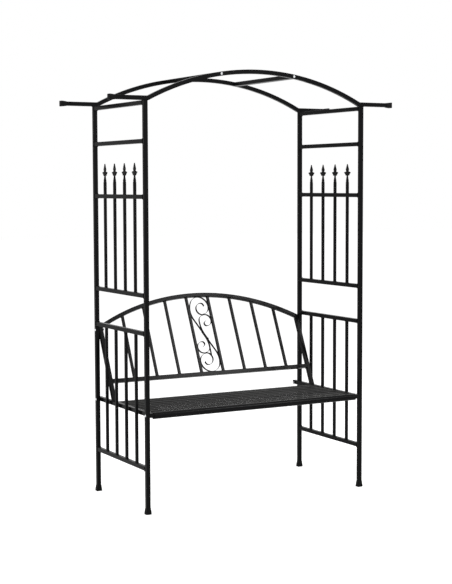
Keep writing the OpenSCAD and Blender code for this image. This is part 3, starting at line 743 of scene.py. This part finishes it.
@dataclass
class Caps:
    """Flared plastic caps: four feet and four bar ends, and the plugs of the seat's rails.

    Attributes:
        tube: width of the tube that a cap is on.
        end: width of the closed end.
        length: length of a cap.
        lip: width of the mouth beyond the tube.
        flange: length of the straight end.
        mouth: depth to which the mouth is open round the tube.
        room: room between cap and tube on each side.
        corner: rounding of the upright corners.
        corner_steps: faces round each of these corners.
        edge: rounding of the closed end's rim.
    """

    tube: float
    end: float
    length: float
    lip: float = 2.2 * MM
    flange: float = 8.0 * MM
    mouth: float = 6.0 * MM
    room: float = 0.1 * MM
    corner: float = 3.0 * MM
    corner_steps: int = 5
    edge: float = 1.2 * MM

    @classmethod
    def measured(cls) -> Caps:
        """Takes the caps' size from the frame's nodes."""
        post_low, post_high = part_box("post_front_right")
        low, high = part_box("foot_caps")
        return cls(post_high.x - post_low.x, 2 * high.x - post_low.x - post_high.x, high.z - low.z)

    def build(self) -> None:
        """Builds both sets of caps in place of their CAD nodes, and dresses the plugs."""
        low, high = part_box("foot_caps")
        half = self.end / 2
        bm = bmesh.new()
        for x in (low.x + half, high.x - half):
            for y in (low.y + half, high.y - half):
                self._cap(bm, Matrix.Translation((x, y, low.z)))
        settle(bm, "foot_caps_moulded", PLASTIC, ("foot_caps",))
        low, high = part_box("overhang_caps")
        z = (low.z + high.z) / 2
        bm = bmesh.new()
        for x, way in ((low.x, 1.0), (high.x, -1.0)):
            for y in (low.y + half, high.y - half):
                self._cap(bm, turned(Vector((x, y, z)), Vector((way, 0, 0)), Vector((0, 1, 0))))
        settle(bm, "overhang_caps_moulded", PLASTIC, ("overhang_caps",))
        dress(PLASTIC, "rail_plugs")

    def _cap(self, bm: bmesh.types.BMesh, place: Matrix) -> None:
        """Adds one cap, its closed end on the place's origin and its mouth along Z."""
        old = set(bm.verts)
        size = Vector((self.end, self.end, self.flange))
        top = self._face_at(block(bm, size, Vector((0.0, 0.0, self.flange / 2))), self.flange)
        moved = grow_face(bm, top)
        bmesh.ops.delete(bm, geom=[top], context="FACES_ONLY")
        share = (self.tube + self.lip) / self.end
        bmesh.ops.scale(bm, verts=moved, vec=(share, share, 1.0))
        bmesh.ops.translate(bm, verts=moved, vec=(0.0, 0.0, self.length - self.flange))
        upright = [e for e in bm.edges if e.verts[0] not in old and rise(e) > NEAR]
        rounded(bm, upright, self.corner, self.corner_steps)
        mouth = self._face_at([v for v in bm.verts if v not in old], self.length)
        bmesh.ops.inset_region(bm, faces=[mouth], thickness=self.lip / 2 - self.room)
        deep = grow_face(bm, mouth)
        bmesh.ops.delete(bm, geom=[mouth], context="FACES_ONLY")
        bmesh.ops.translate(bm, verts=deep, vec=(0.0, 0.0, -self.mouth))
        fresh = [e for e in bm.edges if e.verts[0] not in old and len(e.link_faces) == 2]
        rounded(bm, [e for e in fresh if all(v.co.z < NEAR for v in e.verts)], self.edge)
        bmesh.ops.transform(bm, matrix=place, verts=[v for v in bm.verts if v not in old])

    @staticmethod
    def _face_at(verts: list[bmesh.types.BMVert], z: float) -> bmesh.types.BMFace:
        """Returns the face whose vertices all lie at a height."""
        for vert in verts:
            for face in vert.link_faces:
                if all(abs(v.co.z - z) < NEAR for v in face.verts):
                    return face
        raise ValueError(f"no face at {z}")


@dataclass
class Seat:
    """The bench: side rails, front tube, bearers, rear bar and slats.

    Attributes:
        bars: the nodes that keep their CAD shape.
        slat_edge: rounding of the slats' rims.
        slat_corner: rounding of the slats' corners.
        bead: weld of the bars.
        seed: seed of the first weld.
    """

    bars: tuple[str, ...] = (
        "seat_side_rail_left",
        "seat_side_rail_right",
        "seat_bearer_left",
        "seat_bearer_right",
        "seat_front_tube",
        "seat_rear_bar",
    )
    slat_edge: float = 0.3 * MM
    slat_corner: float = 1.5 * MM
    bead: Bead = Bead(leg=1.8 * MM)
    seed: int = 300

    def build(self) -> None:
        """Dresses the bench and builds its slats."""
        dress(POWDER_COAT, *self.bars)
        for node in sorted(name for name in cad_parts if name.startswith("seat_slat_")):
            self._slat(node)
        self._welds()

    def _slat(self, node: str) -> None:
        """Builds one slat with rounded rims in place of its CAD node."""
        low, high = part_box(node)
        bm = bmesh.new()
        block(bm, high - low, (low + high) / 2)
        rounded(bm, [e for e in bm.edges if rise(e) > NEAR], self.slat_corner)
        rounded(bm, [e for e in bm.edges if rise(e) < NEAR], self.slat_edge)
        settle(bm, f"{node}_rolled", SLAT_COAT, (node,), sharp=60.0)

    def _welds(self) -> None:
        """Adds the welds at the ends of the front tube and the rear bar."""
        bm = bmesh.new()
        low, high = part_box("seat_front_tube")
        rail_low, rail_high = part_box("seat_side_rail_right")
        y, z, radius = (low.y + high.y) / 2, (low.z + high.z) / 2, (high.z - low.z) / 2
        first, last = (math.asin((edge - z) / radius) for edge in (rail_low.z, rail_high.z))
        for x, way in ((low.x, 1.0), (high.x, -1.0)):
            self.bead.arc(bm, Vector((x, y, z)), way, radius, first, last)
        low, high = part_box("seat_rear_bar")
        y, z = (low.y + high.y) / 2, (low.z + high.z) / 2
        for i, (x, way) in enumerate(((low.x, 1.0), (high.x, -1.0))):
            place = turned(Vector((x, y, z)), Vector((way, 0, 0)), Vector((0, 1, 0)))
            self.bead.square(bm, place, high.y - low.y, high.z - low.z, self.seed + i)
        settle(bm, "seat_welds", POWDER_COAT)


@dataclass(frozen=True)
class BackPlane:
    """The leaning plane of the backrest, as the frame has it.

    Attributes:
        foot: middle of the uprights' feet.
        lean: angle from the upright, in radians.
        rail: distance from the feet to the bottom rail's centre, along the plane.
        tube: width of the frame tube.
        arch_centre: centre of the arch's circle along the plane.
        arch_radius: radius of the arch's centre line.
    """

    foot: Vector
    lean: float
    rail: float
    tube: float
    arch_centre: float
    arch_radius: float

    @classmethod
    def measured(cls) -> BackPlane:
        """Reads the plane from the frame's nodes."""
        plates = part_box("back_foot_plates")
        foot = Vector((0.0, (plates[0].y + plates[1].y) / 2, plates[1].z))
        way = middle("back_bottom_rail") - foot
        lean = math.atan2(way.y, way.z)
        side_low, side_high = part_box("seat_side_rail_right")
        tube = side_high.x - side_low.x
        flat = (Matrix.Translation(foot) @ Matrix.Rotation(-lean, 4, "X")).inverted()
        outer = [flat @ v.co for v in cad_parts["back_arch"].data.vertices]
        crown = max(v.z for v in outer)
        widest = max(v.x for v in outer)
        end = max(v.z for v in outer if v.x > widest - 0.1 * MM)
        drop = crown - end
        radius = (widest**2 + drop**2) / (2 * drop)
        LOG.info("backrest: lean %.3f, arch radius %.4f", math.degrees(lean), radius - tube / 2)
        return cls(foot, lean, way.length, tube, crown - radius, radius - tube / 2)

    @property
    def place(self) -> Matrix:
        """Placement of the plane, with Z up along it."""
        return Matrix.Translation(self.foot) @ Matrix.Rotation(-self.lean, 4, "X")

    @property
    def rail_top(self) -> float:
        """Top of the bottom rail along the plane."""
        return self.rail + self.tube / 2

    @property
    def arch_under(self) -> float:
        """Radius of the arch's underside."""
        return self.arch_radius - self.tube / 2

    @property
    def spindles(self) -> list[tuple[float, float]]:
        """Middle and width along X of each spindle."""
        return clusters([v.co.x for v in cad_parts["back_spindles"].data.vertices])


@dataclass
class Backrest:
    """The leaning backrest: uprights, bottom rail, arch and spindles.

    Attributes:
        plane: the backrest's plane.
        bead: weld of the spindles and the rail.
        seed: seeds of the welds start after this.
    """

    plane: BackPlane
    bead: Bead = Bead(leg=1.5 * MM, ripple=0.15 * MM, cuts=2)
    seed: int = 400

    def build(self) -> None:
        """Dresses the backrest's nodes and adds its welds."""
        dress(
            POWDER_COAT,
            "back_upright_left",
            "back_upright_right",
            "back_bottom_rail",
            "back_arch",
            "back_spindles",
            "back_foot_plates",
        )
        self._welds()

    def _welds(self) -> None:
        """Adds the welds at the spindles' ends and at the bottom rail's ends."""
        plane, bm, seed = self.plane, bmesh.new(), self.seed
        for x, width in plane.spindles:
            seed += 2
            foot = turned(Vector((x, 0, plane.rail_top)), Vector((0, 0, 1)), Vector((1, 0, 0)))
            self.bead.square(bm, plane.place @ foot, width, width, seed)
            up = math.sqrt(plane.arch_under**2 - x**2)
            at = Vector((x, 0, plane.arch_centre + up))
            head = turned(at, Vector((-x, 0, -up)), Vector((up, 0, -x)))
            self.bead.square(bm, plane.place @ head, width * plane.arch_under / up, width, seed + 1)
        low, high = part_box("back_bottom_rail")
        for x, way in ((low.x, 1.0), (high.x, -1.0)):
            seed += 1
            end = turned(Vector((x, 0, plane.rail)), Vector((way, 0, 0)), Vector((0, 1, 0)))
            self.bead.square(bm, plane.place @ end, plane.tube, plane.tube, seed)
        settle(bm, "backrest_welds", POWDER_COAT)


@dataclass
class Scroll:
    """The scroll of flat strip between the two middle spindles.

    Attributes:
        plane: the backrest's plane.
        depth: depth of the strip, through the backrest.
        thick: thickness of the strip.
        edge: rounding of its edges.
        slope: slope of the long run across the middle, in degrees.
        sink: how far the slope crosses below the scroll's middle.
        bend: radius of the bends from the slope to the sides.
        hook: radius of the hook after the end loop.
        curl: radius of the large curl.
        curl_tip: radius of the large curl's inner end.
        tip_angle: angle in degrees at which that inner end stops.
        curl_x: distance of the large curl's centre from the middle.
        shoulder: radius of the shoulder between the curls.
        small_curl: radius of the small curl.
        small_tip: angle in degrees at which the small curl ends.
        branch: radius of the branch that runs into the slope.
        branch_x: distance of the branch's centre from the middle.
        branch_bend: radius of the branch's last bend.
        branch_end: how far the branch lies along the slope past the middle.
        gap: gap between two strips where they meet.
        step: angle in degrees of one step along an arc.
        least_steps: least number of steps along an arc.
        edge_angle: angle in degrees past which an edge of the strip is rounded.
    """

    plane: BackPlane
    depth: float = 12.5 * MM
    thick: float = 2.0 * MM
    edge: float = 0.4 * MM
    slope: float = 62.8
    sink: float = 6.0 * MM
    bend: float = 100.0 * MM
    hook: float = 43.5 * MM
    curl: float = 31.5 * MM
    curl_tip: float = 16.0 * MM
    tip_angle: float = -5.0
    curl_x: float = 13.5 * MM
    shoulder: float = 30.5 * MM
    small_curl: float = 13.0 * MM
    small_tip: float = 95.0
    branch: float = 31.5 * MM
    branch_x: float = 17.0 * MM
    branch_bend: float = 140.0 * MM
    branch_end: float = 20.0 * MM
    gap: float = 0.1 * MM
    step: float = 5.0
    least_steps: int = 3
    edge_angle: float = 60.0

    def build(self) -> None:
        """Builds the scroll in place of its CAD node."""
        bm = bmesh.new()
        for turn, mid in ((0.0, -self.sink), (math.pi, self.sink)):
            spun = Matrix.Rotation(turn, 4, "Y")
            for chain in (self._long_strip, self._double_curl, self._branch):
                old = set(bm.verts)
                chain(bm, mid)
                fresh = [v for v in bm.verts if v not in old]
                bmesh.ops.transform(bm, matrix=spun, verts=fresh)
        bmesh.ops.remove_doubles(bm, verts=bm.verts, dist=NEAR)
        ribbon = bmesh.ops.extrude_edge_only(bm, edges=list(bm.edges))["geom"]
        moved = [v for v in ribbon if isinstance(v, bmesh.types.BMVert)]
        bmesh.ops.translate(bm, verts=moved, vec=(0.0, self.depth, 0.0))
        bmesh.ops.translate(bm, verts=bm.verts, vec=(0.0, -self.depth / 2, self.middle))
        bmesh.ops.transform(bm, matrix=self.plane.place, verts=bm.verts)
        piece = settle(bm, "back_scroll_strip", POWDER_COAT, ("back_scroll",), self.edge_angle)
        wall = piece.modifiers.new("strip", "SOLIDIFY")
        wall.thickness = self.thick
        wall.offset = 0.0
        wall.use_even_offset = True
        rim = piece.modifiers.new("rims", "BEVEL")
        rim.width = self.edge
        rim.segments = 2
        rim.limit_method = "ANGLE"
        rim.angle_limit = math.radians(self.edge_angle)

    @staticmethod
    def _start(bm: bmesh.types.BMesh, x: float, z: float) -> bmesh.types.BMVert:
        """Returns a new vertex of the path."""
        return bm.verts.new((x, 0.0, z))

    def _arc(
        self,
        bm: bmesh.types.BMesh,
        vert: bmesh.types.BMVert,
        centre: tuple[float, float],
        angle: float,
    ) -> bmesh.types.BMVert:
        """Bends the path about a centre, in degrees from X towards Z; returns its new end."""
        done = bmesh.ops.spin(
            bm,
            geom=[vert],
            cent=(centre[0], 0.0, centre[1]),
            axis=(0.0, -1.0, 0.0),
            angle=math.radians(angle),
            steps=max(self.least_steps, round(abs(angle) / self.step)),
        )
        return next(v for v in done["geom_last"] if isinstance(v, bmesh.types.BMVert))

    @staticmethod
    def _run(
        bm: bmesh.types.BMesh, vert: bmesh.types.BMVert, x: float, z: float
    ) -> bmesh.types.BMVert:
        """Runs the path straight to a point and returns its new end."""
        grown = bmesh.ops.extrude_vert_indiv(bm, verts=[vert])["verts"][0]
        grown.co = Vector((x, 0.0, z))
        return grown

    @property
    def turn(self) -> float:
        """Angle between the slope and the upright, in degrees."""
        return 90.0 - self.slope

    @property
    def crown(self) -> float:
        """Underside of the arch in the middle, along the plane."""
        return self.plane.arch_centre + self.plane.arch_under

    @property
    def middle(self) -> float:
        """The scroll's middle along the plane."""
        return (self.plane.rail_top + self.crown) / 2

    @property
    def half_height(self) -> float:
        """Distance from the middle to the strip's highest point."""
        return (self.crown - self.plane.rail_top - self.thick) / 2

    @property
    def half_width(self) -> float:
        """Distance from the middle to the strip's outermost point."""
        x, width = min(self.plane.spindles, key=lambda spindle: abs(spindle[0]))
        return abs(x) - (width + self.thick) / 2

    def _bend_start(self, mid: float) -> tuple[float, float]:
        """Returns X and height where the slope, which crosses at mid, goes over into the bend."""
        x = -self.half_width + self.bend * (1 - math.cos(math.radians(self.turn)))
        return x, mid - x * math.tan(math.radians(self.slope))

    def _bend_z(self, mid: float) -> float:
        """Returns the height of the bend's centre."""
        return self._bend_start(mid)[1] + self.bend * math.sin(math.radians(self.turn))

    def _loop(self, mid: float) -> float:
        """Returns the radius of the end loop, which touches arch and spindle after the bend."""
        a, b = 2 * self.half_width - self.bend, self.half_height - self._bend_z(mid)
        c = self.bend - a - b
        return math.sqrt(c * c + self.bend**2 - a * a - b * b) - c

    def _shoulder_z(self, mid: float) -> float:
        """Returns the height of the strip between the two curls."""
        return self.half_height - self._loop(mid) - self.hook - self.thick - self.gap

    def _long_strip(self, bm: bmesh.types.BMesh, mid: float) -> None:
        """Adds half the slope, the bend to the side, the end loop and the hook."""
        loop = self._loop(mid)
        bend_x, bend_z = self.bend - self.half_width, self._bend_z(mid)
        loop_x, loop_z = self.half_width - loop, self.half_height - loop
        turn = math.degrees(math.atan2(loop_z - bend_z, bend_x - loop_x))
        vert = self._run(bm, self._start(bm, 0.0, mid), *self._bend_start(mid))
        vert = self._arc(bm, vert, (bend_x, bend_z), -self.turn - turn)
        vert = self._arc(bm, vert, (loop_x, loop_z), turn - 180.0)
        self._arc(bm, vert, (self.half_width - self.hook, loop_z), -90.0)

    def _double_curl(self, bm: bmesh.types.BMesh, mid: float) -> None:
        """Adds the large curl, the shoulder and the small curl."""
        shoulder_z = self._shoulder_z(mid)
        tip_z = shoulder_z + 2 * self.curl - self.curl_tip
        begin = math.radians(self.tip_angle)
        tip = (self.curl_tip * math.cos(begin), self.curl_tip * math.sin(begin))
        vert = self._start(bm, self.curl_x + tip[0], tip_z + tip[1])
        vert = self._arc(bm, vert, (self.curl_x, tip_z), 90.0 - self.tip_angle)
        vert = self._arc(bm, vert, (self.curl_x, shoulder_z + self.curl), 180.0)
        x = self.half_width - self.shoulder
        vert = self._run(bm, vert, x, shoulder_z)
        vert = self._arc(bm, vert, (x, shoulder_z - self.shoulder), -180.0)
        small_z = shoulder_z - 2 * self.shoulder + self.small_curl
        self._arc(bm, vert, (x, small_z), self.small_tip - 270.0)

    def _branch(self, bm: bmesh.types.BMesh, mid: float) -> None:
        """Adds the branch that runs from the curls into the slope."""
        step = self.thick + self.gap
        slope, turn = math.radians(self.slope), math.radians(self.turn)
        top = self._shoulder_z(mid) - step
        left = self.branch_x - self.branch
        join_x = left + self.branch_bend * (1 - math.cos(turn))
        join_z = mid + (step - join_x * math.sin(slope)) / math.cos(slope)
        bend_z = join_z + self.branch_bend * math.sin(turn)
        tail_z = mid - self.branch_end
        vert = self._start(bm, self.branch_x, top)
        vert = self._arc(bm, vert, (self.branch_x, top - self.branch), 90.0)
        vert = self._run(bm, vert, left, bend_z)
        vert = self._arc(bm, vert, (left + self.branch_bend, bend_z), self.turn)
        self._run(bm, vert, join_x + (join_z - tail_z) / math.tan(slope), tail_z)


@dataclass
class Roof:
    """Arches, rungs and the hidden spigots and plugs that join the tubes.

    Attributes:
        bead: weld of the overhang bars on the post tops.
        seed: seeds of the welds start after this.
    """

    bead: Bead = Bead(leg=1.8 * MM)
    seed: int = 500

    def build(self) -> None:
        """Dresses the roof's nodes and adds the welds on the post tops."""
        dress(POWDER_COAT, "arch_front", "arch_rear", "rung_left", "rung_right")
        dress(POWDER_COAT, "arch_spigots", "bar_plugs")
        bm = bmesh.new()
        seed = self.seed
        for side in Side:
            for row in ("front", "rear"):
                low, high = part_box(f"post_{row}_{side.value}")
                top = Vector(((low.x + high.x) / 2, (low.y + high.y) / 2, high.z))
                place = turned(top, Vector((0, 0, -1)), Vector((1, 0, 0)))
                seed += 1
                self.bead.square(bm, place, high.x - low.x, high.y - low.y, seed)
        settle(bm, "post_top_welds", POWDER_COAT)


@dataclass
class Fasteners:
    """Bolts, nuts, screws and threaded plugs.

    Attributes:
        bright: nodes with a bright zinc plate.
        black: nodes with a black zinc plate.
    """

    bright: tuple[str, ...] = ("rung_plugs", "rung_bolts", "frame_bolts")
    black: tuple[str, ...] = ("frame_nuts", "spigot_screws")

    def build(self) -> None:
        """Dresses the fasteners."""
        dress(ZINC, *self.bright)
        dress(BLACK_ZINC, *self.black)


# Light and camera


@dataclass(frozen=True)
class ViewPoint:
    """The camera of the reference view.

    Attributes:
        at: place of the lens, seen from the ground midway between the posts.
        yaw: turn from +Y towards +X, in degrees.
        pitch: tilt below the horizon, in degrees.
        roll: turn about the line of sight, in degrees.
        focal: focal length in pixels of the frame.
        long_side: long side of the frame, in pixels.
        sensor: width of the sensor, in millimetres.
    """

    at: tuple[float, float, float] = (-3.2505, -5.84245, 1.5119)
    yaw: float = 28.961
    pitch: float = 4.509
    roll: float = -0.178
    focal: float = 1357.225
    long_side: float = 584.0
    sensor: float = 36.0

    def build(self) -> None:
        """Makes the camera and hands it to the scene."""
        yaw, pitch, roll = (math.radians(a) for a in (self.yaw, self.pitch, self.roll))
        forward = Vector(
            (math.sin(yaw) * math.cos(pitch), math.cos(yaw) * math.cos(pitch), -math.sin(pitch))
        )
        right = Vector((math.cos(yaw), -math.sin(yaw), 0.0))
        up = right.cross(forward)
        x = right * math.cos(roll) + up * math.sin(roll)
        y = up * math.cos(roll) - right * math.sin(roll)
        data = bpy.data.cameras.new("reference_view")
        data.sensor_fit = "AUTO"
        data.sensor_width = self.sensor
        data.lens = self.focal / self.long_side * self.sensor
        camera = bpy.data.objects.new("reference_view", data)
        turn = Matrix((x, y, -forward)).transposed().to_4x4()
        ground = (middle("post_front_left") + middle("post_rear_right")) / 2
        ground.z = 0.0
        camera.matrix_world = Matrix.Translation(ground + Vector(self.at)) @ turn
        bpy.context.scene.collection.objects.link(camera)
        bpy.context.scene.camera = camera


@dataclass(frozen=True)
class Lamp:
    """A soft square lamp that looks at a point.

    Attributes:
        name: name of the lamp.
        at: its place.
        aim: the point that it looks at.
        size: its side.
        power: its power in watts.
    """

    name: str
    at: tuple[float, float, float]
    aim: tuple[float, float, float]
    size: float
    power: float

    def build(self) -> None:
        """Makes the lamp."""
        data = bpy.data.lights.new(self.name, "AREA")
        data.shape = "SQUARE"
        data.size = self.size
        data.energy = self.power
        lamp = bpy.data.objects.new(self.name, data)
        look = (Vector(self.aim) - Vector(self.at)).to_track_quat("-Z", "Y")
        lamp.matrix_world = Matrix.Translation(self.at) @ look.to_matrix().to_4x4()
        bpy.context.scene.collection.objects.link(lamp)


@dataclass(frozen=True)
class Studio:
    """Plain white surroundings with soft light.

    Attributes:
        ambient: strength of the light that comes from all round.
        floor_glow: share of the floor's white that doesn't depend on the light.
        floor_paint: brightness of the floor's paint.
        floor_size: side of the floor.
        floor_drop: how far the floor lies below the object.
        lamps: the soft lamps.
    """

    ambient: float = 0.55
    floor_glow: float = 0.62
    floor_paint: float = 0.8
    floor_size: float = 60.0
    floor_drop: float = 0.5 * MM
    lamps: tuple[Lamp, ...] = (
        Lamp("key_left", (-5.2, -0.6, 2.4), (0.0, 0.0, 1.0), 3.0, 60.0),
        Lamp("high_right", (2.3, -2.9, 3.5), (0.0, -0.2, 0.6), 1.2, 100.0),
        Lamp("fill_front", (1.5, -6.0, 2.2), (0.0, 0.0, 1.0), 3.0, 40.0),
        Lamp("top", (0.0, 0.5, 5.0), (0.0, 0.0, 1.0), 3.5, 60.0),
    )

    def build(self) -> None:
        """Builds world, floor and lamps."""
        self._world()
        self._floor()
        for lamp in self.lamps:
            lamp.build()

    @staticmethod
    def _split(
        tree: bpy.types.NodeTree, lit: bpy.types.Node, seen: bpy.types.Node, output: str
    ) -> None:
        """Gives camera, gloss and glass another shader than all other rays.

        Args:
            tree: the node tree.
            lit: shader for all other rays.
            seen: shader for camera, gloss and glass.
            output: type of the tree's output node.
        """
        path = tree.nodes.new("ShaderNodeLightPath")
        total = path.outputs["Is Camera Ray"]
        for name in ("Is Glossy Ray", "Is Transmission Ray"):
            add = tree.nodes.new("ShaderNodeMath")
            add.operation = "ADD"
            add.use_clamp = True
            tree.links.new(total, add.inputs[0])
            tree.links.new(path.outputs[name], add.inputs[1])
            total = add.outputs[0]
        mix = tree.nodes.new("ShaderNodeMixShader")
        for start, end in zip((total, lit.outputs[0], seen.outputs[0]), mix.inputs):
            tree.links.new(start, end)
        tree.links.new(mix.outputs[0], tree.nodes.new(output).inputs["Surface"])

    def _world(self) -> None:
        """Makes the world: white where it is seen, softer where it lights."""
        world = bpy.data.worlds.new("studio")
        bpy.context.scene.world = world
        world.use_nodes = True
        tree = world.node_tree
        tree.nodes.clear()
        shaders = []
        for strength in (self.ambient, 1.0):
            shader = tree.nodes.new("ShaderNodeBackground")
            shader.inputs["Color"].default_value = (1.0, 1.0, 1.0, 1.0)
            shader.inputs["Strength"].default_value = strength
            shaders.append(shader)
        self._split(tree, *shaders, "ShaderNodeOutputWorld")

    def _floor(self) -> None:
        """Makes a white floor that takes the object's shadow."""
        bm = bmesh.new()
        bmesh.ops.create_grid(bm, x_segments=1, y_segments=1, size=self.floor_size / 2)
        bmesh.ops.translate(bm, verts=bm.verts, vec=(0.0, 0.0, -self.floor_drop))
        mesh = bpy.data.meshes.new("floor")
        bm.to_mesh(mesh)
        bm.free()
        material = bpy.data.materials.new("white_floor")
        material.use_nodes = True
        tree = material.node_tree
        tree.nodes.clear()
        paint = tree.nodes.new("ShaderNodeBsdfDiffuse")
        paint.inputs["Color"].default_value = (*[self.floor_paint] * 3, 1.0)
        glow = tree.nodes.new("ShaderNodeEmission")
        glow.inputs["Strength"].default_value = self.floor_glow
        both = tree.nodes.new("ShaderNodeAddShader")
        tree.links.new(paint.outputs[0], both.inputs[0])
        tree.links.new(glow.outputs[0], both.inputs[1])
        self._split(tree, paint, both, "ShaderNodeOutputMaterial")
        mesh.materials.append(material)
        floor = bpy.data.objects.new("floor", mesh)
        bpy.context.scene.collection.objects.link(floor)


def main() -> None:
    """Builds camera, light and all pieces in order."""
    logging.basicConfig(level=logging.INFO, format="%(name)s: %(message)s")
    bpy.context.scene.view_settings.view_transform = "Standard"
    ViewPoint().build()
    Studio().build()
    for side in Side:
        SideFrame(side).build()
        Finials(side).build()
    Caps.measured().build()
    Seat().build()
    plane = BackPlane.measured()
    Backrest(plane).build()
    Scroll(plane).build()
    Roof().build()
    Fasteners().build()


if __name__ == "__main__":
    main()
